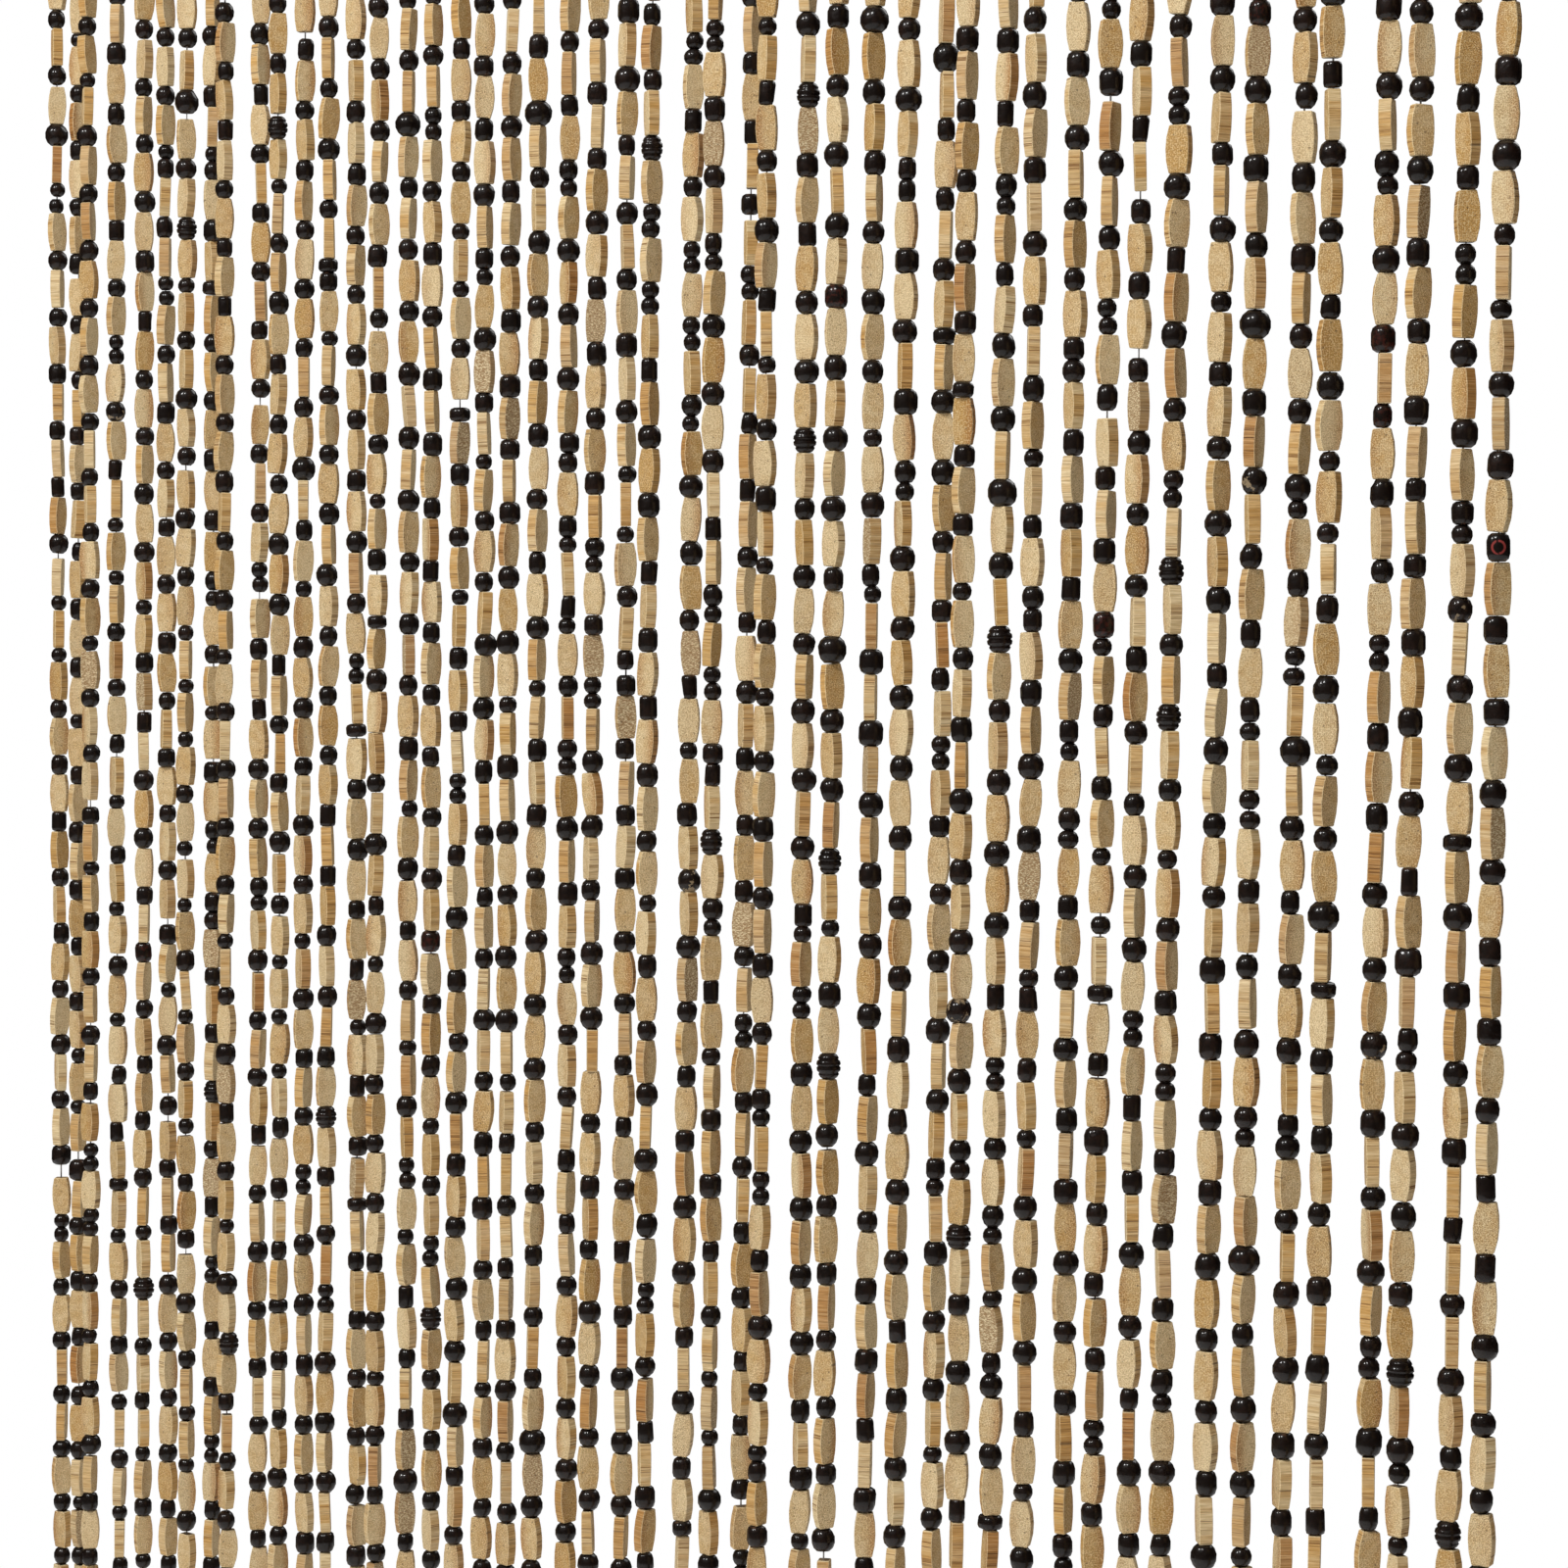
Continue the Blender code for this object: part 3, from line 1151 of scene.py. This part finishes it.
@dataclass(frozen=True)
class StringFinish:
    """Grey two-ply string."""

    grey: Color = (0.46, 0.44, 0.42, 1.0)
    dark: Color = (0.20, 0.19, 0.18, 1.0)
    roughness: float = 0.6
    wave_scale: float = 45.0

    def make(self) -> bpy.types.Material:
        """Make the finish."""
        bench = Bench("String")
        place = bench.node("TexCoord").outputs["Object"]
        slant = bench.vector("MULTIPLY", place, (0.6, 0.6, 1.0))
        wave = bench.node("TexWave", wave_type="BANDS", bands_direction="Z")
        bench.fill(wave, Vector=slant, Scale=self.wave_scale, Distortion=1.5)
        twist = wave.outputs["Fac"]
        bench.fill(bench.shader, Roughness=self.roughness,
                   Base_Color=bench.blend(bench.ramp(twist, 0.1, 0.7), self.dark, self.grey))
        bench.bump(twist, 0.5, 0.0001)
        return bench.material


@dataclass(frozen=True)
class HeadingFinish:
    """Plain planed wood with its grain along the strip."""

    light: Color = (0.52, 0.35, 0.18, 1.0)
    dark: Color = (0.33, 0.195, 0.085, 1.0)
    roughness: tuple[float, float] = (0.5, 0.68)

    def make(self) -> bpy.types.Material:
        """Make the finish."""
        bench = Bench("Heading wood")
        place = bench.node("TexCoord").outputs["Object"]
        seat = bench.vector("MULTIPLY", place, (6.0, 160.0, 160.0))
        rings = bench.noise(seat, 0.9, 4.0, 0.6)
        fine = bench.noise(bench.vector("MULTIPLY", place, (60.0, 2200.0, 2200.0)), 1.0, 2.0)
        ground = bench.blend(bench.ramp(rings, 0.32, 0.68), self.light, self.dark)
        ground = bench.blend(bench.ramp(fine, 0.55, 0.8, 0.0, 0.5), ground, self.dark)
        bench.fill(bench.shader, Base_Color=ground,
                   Roughness=bench.ramp(rings, 0.3, 0.7, *self.roughness))
        bench.bump(fine, 0.3, 0.00015)
        return bench.material


def fit_piece(piece: bpy.types.Object, finish: bpy.types.Material) -> None:
    """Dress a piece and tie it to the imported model.

    Args:
        piece: the piece.
        finish: its material.
    """
    piece.data.materials.clear()
    piece.data.materials.append(finish)
    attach(piece, ROOT_BODY)
    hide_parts(CURTAIN_NODE)
    LOG.info("%s: %d faces", piece.name, len(piece.data.polygons))


@dataclass
class BeadStrands:
    """All the beads: how they follow each other on a strand, and the joined pieces."""

    sizes: CurtainSizes
    view: Viewpoint
    slab: SlabBead = SlabBead()
    slabs_per_piece: int = 3
    wooden_per_piece: int = 10
    slab_crease: float = 28.0
    slab_length: tuple[float, float] = (0.985, 1.015)
    slab_spread: tuple[float, float] = (0.025, 0.03)
    slab_tilt: float = 1.4
    slab_shift_mm: float = 0.18
    slab_tone: tuple[float, float] = (0.37, 0.31)
    inner_side: tuple[float, float] = (0.0, 0.35)
    outer_side: tuple[float, float] = (0.30, 0.95)
    side_shares: tuple[float, float] = (0.62, 0.38)
    wooden_spread: float = 0.02
    wooden_shift_mm: float = 0.25
    plain_dented: float = 0.985
    plain_seed: float = 0.98
    double_share: float = 0.08
    small_gap_mm: float = 0.12
    gap_share: float = 0.10
    gap_mm: tuple[float, float] = (0.7, 2.6)
    top_gap: float = 0.0015
    bottom_room: float = 0.004
    seed: int = 2024

    def __post_init__(self) -> None:
        """Make the blanks that the beads are copies of."""
        rng = np.random.default_rng(self.slab.seed)
        self.slab_blanks = [self.slab.blank(rng) for _ in range(self.slab.variants)]
        self.wooden_blanks: list[Blank] = []
        self.blanks_of: dict[Form, list[int]] = {form: [] for form in Form}
        for turned in WOODEN_FORMS:
            for _ in range(FORM_VARIANTS):
                self.blanks_of[turned.form].append(len(self.wooden_blanks))
                self.wooden_blanks.append(turned.blank(rng))
        self.slab_places: list[list[BeadPlace]] = []
        self.wooden_places: list[list[BeadPlace]] = []

    def pick_word(self, rng: np.random.Generator) -> str:
        """Choose the wooden bead, or the pair of them, that comes next."""
        if rng.random() < self.double_share:
            return str(rng.choice(PAIR_WORDS))
        shares = np.array([kind.share for kind in WOODEN_KINDS])
        return WOODEN_KINDS[rng.choice(len(shares), p=shares / shares.sum())].letter

    def take_beads(self, rng: np.random.Generator, word: str) -> list[Bead]:
        """Take the wooden beads of a chart's word.

        Args:
            rng: where their sizes come from.
            word: a letter for each, with its mark, or a dash for none.

        Returns:
            The beads.
        """
        taken = []
        for letter, mark in zip(word, word[1:] + " "):
            if letter in KIND_OF:
                kind = KIND_OF[letter]
                taken.append(Bead(kind, rng.uniform(*kind.height_mm) * MM,
                                  rng.uniform(*kind.width_mm) * MM, mark == "*", mark == "+",
                                  mark == "o"))
        return taken

    def take_slab(self, rng: np.random.Generator) -> Bead:
        """Take a slab bead."""
        return Bead(None, self.slab.length * rng.uniform(*self.slab_length))

    def fill_up(self, rng: np.random.Generator, room: float) -> list[Bead]:
        """Choose the beads for a length of string that no chart covers.

        Args:
            rng: where the choice comes from.
            room: how long the string is.

        Returns:
            The beads, of which the first is a slab bead.
        """
        chosen: list[Bead] = []
        slab_next = True
        while True:
            batch = ([self.take_slab(rng)] if slab_next
                     else self.take_beads(rng, self.pick_word(rng)))
            room -= sum(bead.length for bead in batch)
            if room < 0.0:
                return chosen
            chosen += batch
            slab_next = not slab_next

    def thread_strand(self, chart: Chart) -> None:
        """Thread one strand's beads, from the heading strip down.

        Args:
            chart: what the photograph shows of the strand.
        """
        rng = np.random.default_rng([self.seed, chart.strand])
        line = StrandLine(self.sizes, chart.strand)
        top = self.sizes.heading_height + self.top_gap
        bottom = line.end - self.bottom_room
        drops = [self.view.drop(line, row) for row in chart.rows_px]
        upper, lower = chart.upper.split(), chart.lower.split()
        charted: list[Bead] = []
        places = []
        for number, word in enumerate(upper + lower):
            if number:
                charted.append(self.take_slab(rng))
            if number in (0, len(upper), len(upper + lower) - 1):
                places.append(len(charted))
            charted += self.take_beads(rng, word)
        above = self.fill_up(rng, drops[0] - charted[0].length / 2.0 - top)
        after = charted[places[-1]:]
        hangs = drops[-1] + sum(bead.length for bead in after) - after[0].length / 2.0
        order = above[::-1] + charted + self.fill_up(rng, bottom - hangs)
        marks = [(-1, top)]
        marks += [(len(above) + place, drop) for place, drop in zip(places, drops)]
        marks.append((len(order), bottom))
        slabs, wooden = [], []
        for bead, drop in zip(order, self.space_out(rng, order, marks)):
            middle = line.axis(drop)
            if bead.kind is None:
                slabs.append(self.place_slab(rng, middle, bead.length))
            else:
                wooden.append(self.place_wooden(rng, bead, middle))
        self.slab_places.append(slabs)
        self.wooden_places.append(wooden)

    def space_out(self, rng: np.random.Generator, order: list[Bead],
                  marks: list[tuple[int, float]]) -> np.ndarray:
        """Find how far down each bead hangs.

        Args:
            rng: where the uneven gaps come from.
            order: the beads of a strand, from the top; too long ones are cut down to fit.
            marks: the numbers of the beads whose middles' places are known, each with its
                place, and the two ends of the string before and after them.

        Returns:
            How far below the top edge each bead's middle is.
        """
        middles = np.zeros(len(order))
        for (first, start), (last, stop) in zip(marks, marks[1:]):
            between = order[first + 1:last]
            at_end = last == len(order)
            start += order[first].length / 2.0 if first >= 0 else 0.0
            room = stop - start - (0.0 if at_end else order[last].length / 2.0)
            taken = sum(bead.length for bead in between)
            squeeze = min(1.0, room / taken)
            gaps = self.share_slack(rng, len(between) + (not at_end), room - taken * squeeze)
            drop = start
            for number, (bead, gap) in enumerate(zip(between, gaps)):
                bead.length *= squeeze
                middles[first + 1 + number] = drop + gap + bead.length / 2.0
                drop += gap + bead.length
            if not at_end:
                middles[last] = stop
        return middles

    def share_slack(self, rng: np.random.Generator, count: int, slack: float) -> np.ndarray:
        """Share out the string that no bead covers.

        Args:
            rng: where the uneven gaps come from.
            count: how many gaps there are.
            slack: how much bare string there is in all.

        Returns:
            The gaps, from the top.
        """
        gaps = rng.uniform(0.0, self.small_gap_mm, count) * MM
        wide = rng.random(count) < self.gap_share
        gaps[wide] += rng.uniform(*self.gap_mm, wide.sum()) * MM
        return gaps * (slack / gaps.sum())

    def place_slab(self, rng: np.random.Generator, middle: Vector, length: float) -> BeadPlace:
        """Hang a slab bead on its string.

        Args:
            rng: where its turn and tone come from.
            middle: its middle.
            length: its length along the string.

        Returns:
            The bead.
        """
        across, deep = (rng.normal(1.0, spread) for spread in self.slab_spread)
        scale = Vector((across, deep, length / self.slab.length))
        tilt = tuple(math.radians(rng.normal(0.0, self.slab_tilt)) for _ in range(2))
        shift = Vector((*rng.normal(0.0, self.slab_shift_mm * MM, 2), 0.0))
        outerness = rng.choice((rng.uniform(*self.inner_side), rng.uniform(*self.outer_side)),
                               p=self.side_shares)
        tone = float(np.clip(rng.normal(*self.slab_tone), 0.0, 1.0))
        look = (tone, float(outerness), rng.random())
        return BeadPlace(int(rng.integers(len(self.slab_blanks))), middle + shift, scale,
                         rng.uniform(0.0, 2.0 * math.pi), tilt, look)

    def place_wooden(self, rng: np.random.Generator, bead: Bead, middle: Vector) -> BeadPlace:
        """Hang a wooden bead on its string.

        Args:
            rng: where its form, turn and tone come from.
            bead: the bead.
            middle: its middle.

        Returns:
            The placed bead.
        """
        kind = bead.kind
        across, deep = (bead.width / 2.0 * rng.normal(1.0, self.wooden_spread) for _ in range(2))
        tilt = tuple(math.radians(rng.normal(0.0, kind.tilt / 2.0)) for _ in range(2))
        shift = Vector((*rng.normal(0.0, self.wooden_shift_mm * MM, 2), 0.0))
        look = (rng.random(), MARKED if bead.chipped else rng.uniform(0.0, self.plain_dented),
                MARKED if bead.reddish else rng.uniform(0.0, self.plain_seed))
        choices = self.blanks_of[kind.forms[int(rng.integers(len(kind.forms)))]]
        blank = choices[int(rng.integers(len(choices)))]
        spin = rng.uniform(0.0, 2.0 * math.pi)
        if bead.ringed:
            way = Vector(self.view.eye) - middle
            spin, look = math.atan2(way.y, way.x), (*look[:2], RINGED)
        return BeadPlace(blank, middle + shift, Vector((across, deep, bead.length / 2.0)), spin,
                         tilt, look)

    def build(self) -> list[tuple[bpy.types.Object, Slot]]:
        """Thread all the strands and join their beads.

        Returns:
            The pieces, each with its slot.
        """
        for chart in CHARTS:
            self.thread_strand(chart)
        pieces = []
        for slot, name, blanks, threaded, batch in (
                (Slot.BAMBOO, "bamboo_beads", self.slab_blanks, self.slab_places,
                 self.slabs_per_piece),
                (Slot.DARK_WOOD, "dark_beads", self.wooden_blanks, self.wooden_places,
                 self.wooden_per_piece)):
            for first in range(0, len(threaded), batch):
                beads = [bead for strand in threaded[first:first + batch] for bead in strand]
                number = first // batch + 1
                piece = JoinedBeads(f"{name}_{number:02d}", blanks, beads).build()
                if slot is Slot.BAMBOO:
                    piece.data.set_sharp_from_angle(angle=math.radians(self.slab_crease))
                pieces.append((piece, slot))
        return pieces

    def dress(self, pieces: list[tuple[bpy.types.Object, Slot]]) -> None:
        """Give the pieces their finishes.

        Args:
            pieces: the pieces, each with its slot.
        """
        finishes = {Slot.BAMBOO: BambooFinish().make(), Slot.DARK_WOOD: DarkWoodFinish().make()}
        for piece, slot in pieces:
            fit_piece(piece, finishes[slot])


@dataclass
class Strings:
    """The strings: two threads side by side down each strand, knotted below its last bead."""

    sizes: CurtainSizes
    thread: float = 0.00052
    apart: float = 0.00036
    steps: int = 24
    sides: int = 5
    turns: float = 9.0
    knot: float = 0.0026
    lobe_turn: float = 0.5
    lobe_apart: float = 0.18
    lobe_scale: tuple[float, float, float] = (0.8, 0.8, 0.92)
    root: float = 0.010

    def tube(self) -> tuple[np.ndarray, list[list[int]]]:
        """Make one straight thread of length 1 that hangs down from the origin.

        Returns:
            Its points, and the points of each of its faces.
        """
        bm = bmesh.new()
        bmesh.ops.create_circle(bm, cap_ends=True, segments=self.sides,
                                radius=self.thread / 2.0)
        face = bm.faces[:][0]
        for step in range(self.steps):
            grown = bmesh.ops.extrude_face_region(bm, geom=[face], use_keep_orig=step == 0)
            ring = [item for item in grown["geom"] if isinstance(item, bmesh.types.BMVert)]
            face = next(item for item in grown["geom"] if isinstance(item, bmesh.types.BMFace))
            bmesh.ops.translate(bm, vec=(0.0, 0.0, -1.0 / self.steps), verts=ring)
        return self.as_arrays(bm)

    def knot_lobes(self) -> tuple[np.ndarray, list[list[int]]]:
        """Make one knot of two lobes, in the middle of the origin.

        Returns:
            Its points, and the points of each of its faces.
        """
        bm = bmesh.new()
        for side in (1.0, -1.0):
            place = (Matrix.Translation((side * self.lobe_apart * self.knot, 0.0, 0.0))
                     @ Matrix.Rotation(side * self.lobe_turn, 4, "Y")
                     @ Matrix.Diagonal((*self.lobe_scale, 1.0)))
            bmesh.ops.create_uvsphere(bm, u_segments=8, v_segments=5, radius=self.knot / 2.0,
                                      matrix=place)
        return self.as_arrays(bm)

    @staticmethod
    def as_arrays(bm: bmesh.types.BMesh) -> tuple[np.ndarray, list[list[int]]]:
        """Turn a bmesh into its points and faces, and free it."""
        bmesh.ops.recalc_face_normals(bm, faces=bm.faces)
        bm.verts.index_update()
        points = np.array([vert.co for vert in bm.verts])
        faces = [[vert.index for vert in face.verts] for face in bm.faces]
        bm.free()
        return points, faces

    def build(self) -> bpy.types.Object:
        """Run the threads down the strands and tie the knots.

        Returns:
            The piece.
        """
        tube, tube_faces = self.tube()
        lobes, lobe_faces = self.knot_lobes()
        points: list[np.ndarray] = []
        faces: list[list[int]] = []
        first = 0
        for strand in range(self.sizes.strands):
            line = StrandLine(self.sizes, strand)
            parts = [(self.run_down(tube, line, side), tube_faces) for side in (-1.0, 1.0)]
            knot = lobes + np.array(line.axis(line.end - self.knot / 2.0))
            for shape, shape_faces in (*parts, (knot, lobe_faces)):
                points.append(shape)
                faces += [[corner + first for corner in face] for face in shape_faces]
                first += len(shape)
        mesh = bpy.data.meshes.new("strings")
        mesh.from_pydata(np.concatenate(points).tolist(), [], faces)
        mesh.shade_smooth()
        return add_object(mesh.name, mesh)

    def run_down(self, tube: np.ndarray, line: StrandLine, side: float) -> np.ndarray:
        """Bend a straight thread along a strand.

        Args:
            tube: the straight thread's points.
            line: where the strand hangs.
            side: -1 or 1, which of the two threads it is.

        Returns:
            The bent thread's points.
        """
        length = line.end - self.knot - self.root
        bent = []
        for across, deep, height in tube:
            angle = -2.0 * math.pi * self.turns * height
            aside = Vector((math.cos(angle), math.sin(angle), 0.0)) * side * self.apart / 2.0
            bent.append(line.axis(self.root - length * height) + aside
                        + Vector((across, deep, 0.0)))
        return np.array(bent)

    def dress(self, piece: bpy.types.Object) -> None:
        """Give the strings their finish."""
        fit_piece(piece, StringFinish().make())


@dataclass
class HeadingStrip:
    """The plain wooden strip that the strings are tied into."""

    sizes: CurtainSizes
    edge_steps: int = 3
    crease: float = 35.0

    def build(self) -> bpy.types.Object:
        """Build the strip.

        Returns:
            The piece.
        """
        sizes = self.sizes
        bm = bmesh.new()
        bmesh.ops.create_cube(bm, size=1.0)
        bmesh.ops.scale(bm, vec=(sizes.width, sizes.heading_depth, sizes.heading_height),
                        verts=bm.verts)
        bmesh.ops.translate(bm, vec=(0.0, 0.0, -sizes.heading_height / 2.0), verts=bm.verts)
        bmesh.ops.bevel(bm, geom=list(bm.edges), offset=sizes.heading_edge,
                        offset_type="OFFSET", segments=self.edge_steps, profile=0.5,
                        affect="EDGES", material=-1)
        mesh = take_mesh(bm, "heading_strip")
        mesh.shade_smooth()
        mesh.set_sharp_from_angle(angle=math.radians(self.crease))
        return add_object(mesh.name, mesh)

    def dress(self, piece: bpy.types.Object) -> None:
        """Give the strip its finish."""
        fit_piece(piece, HeadingFinish().make())


@dataclass(frozen=True)
class Softbox:
    """A soft light, placed by its direction as seen from the camera's side of the curtain."""

    name: str
    left_of_view: float
    above_view: float
    distance: float
    width: float
    power: float
    shows_in_gloss: bool = True


SOFTBOXES = (
    Softbox("key_left", 62.0, 41.0, 2.6, 0.50, 30.0),
    Softbox("key_near", 25.0, 50.0, 2.6, 0.50, 27.0),
    Softbox("front_fill", 10.0, 6.0, 3.2, 2.4, 17.0, shows_in_gloss=False),
    Softbox("right_fill", -55.0, 10.0, 3.2, 1.6, 6.0, shows_in_gloss=False),
    Softbox("low_fill", 20.0, -28.0, 2.8, 1.6, 6.0, shows_in_gloss=False),
    Softbox("back_left", 140.0, 30.0, 3.4, 2.0, 48.0, shows_in_gloss=False),
    Softbox("back_right", -140.0, 40.0, 3.4, 2.0, 32.0),
)


@dataclass
class Studio:
    """The camera, the lights and the floor."""

    sizes: CurtainSizes
    view: Viewpoint
    sensor_mm: float = 36.0
    aim_height: float = -0.95
    floor_gap: float = 0.02
    floor_radius: float = 2.6
    floor_sides: int = 96
    floor_color: Color = (0.90, 0.89, 0.88, 1.0)
    floor_roughness: float = 0.8
    floor_glow: float = 0.3
    white: Color = (1.0, 1.0, 1.0, 1.0)

    def add_camera(self) -> None:
        """Set up the camera where the photograph was taken from."""
        right, upper, look = self.view.axes
        data = bpy.data.cameras.new("camera")
        data.sensor_width = self.sensor_mm
        data.lens = self.view.focal_px / self.view.image_px * self.sensor_mm
        camera = add_object("camera", data)
        axes = Matrix((right, upper, -look)).transposed().to_4x4()
        camera.matrix_world = Matrix.Translation(self.view.eye) @ axes
        bpy.context.scene.camera = camera

    def add_lights(self) -> None:
        """Hang the softboxes round the curtain."""
        aim = Vector((0.0, 0.0, self.aim_height))
        for box in SOFTBOXES:
            bearing = math.radians(self.view.turn - 90.0 - box.left_of_view)
            rise = math.radians(box.above_view)
            way = Vector((math.cos(bearing) * math.cos(rise), math.sin(bearing) * math.cos(rise),
                          math.sin(rise)))
            data = bpy.data.lights.new(box.name, "AREA")
            data.shape = "DISK"
            data.size = box.width
            data.energy = box.power
            lamp = add_object(box.name, data)
            lamp.location = aim + way * box.distance
            lamp.rotation_euler = way.to_track_quat("Z", "Y").to_euler()
            lamp.visible_camera = False
            lamp.visible_glossy = box.shows_in_gloss

    def add_surroundings(self) -> None:
        """Lay a pale floor under the curtain, before a plain white background."""
        world = bpy.data.worlds.new("studio")
        world.use_nodes = True
        sky = world.node_tree.nodes["Background"]
        sky.inputs["Color"].default_value = self.white
        world.cycles_visibility.diffuse = False
        world.cycles_visibility.glossy = False
        bpy.context.scene.world = world
        bm = bmesh.new()
        bmesh.ops.create_circle(bm, cap_ends=True, segments=self.floor_sides,
                                radius=self.floor_radius)
        bmesh.ops.translate(bm, vec=(0.0, 0.0, -self.sizes.height - self.floor_gap),
                            verts=bm.verts)
        floor = add_object("floor", take_mesh(bm, "floor"))
        bench = Bench("Floor")
        bench.fill(bench.shader, Base_Color=self.floor_color, Roughness=self.floor_roughness,
                   Emission_Color=self.white, Emission_Strength=self.floor_glow)
        floor.data.materials.append(bench.material)
        bpy.context.scene.view_settings.view_transform = "Standard"


def main() -> None:
    """Build the dressed bead curtain and its studio."""
    logging.basicConfig(level=logging.INFO, format="%(name)s %(message)s")
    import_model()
    sizes = CurtainSizes()
    view = Viewpoint()
    studio = Studio(sizes, view)
    studio.add_camera()
    studio.add_lights()
    studio.add_surroundings()
    beads = BeadStrands(sizes, view)
    beads.dress(beads.build())
    strings = Strings(sizes)
    strings.dress(strings.build())
    heading = HeadingStrip(sizes)
    heading.dress(heading.build())


if __name__ == "__main__":
    main()
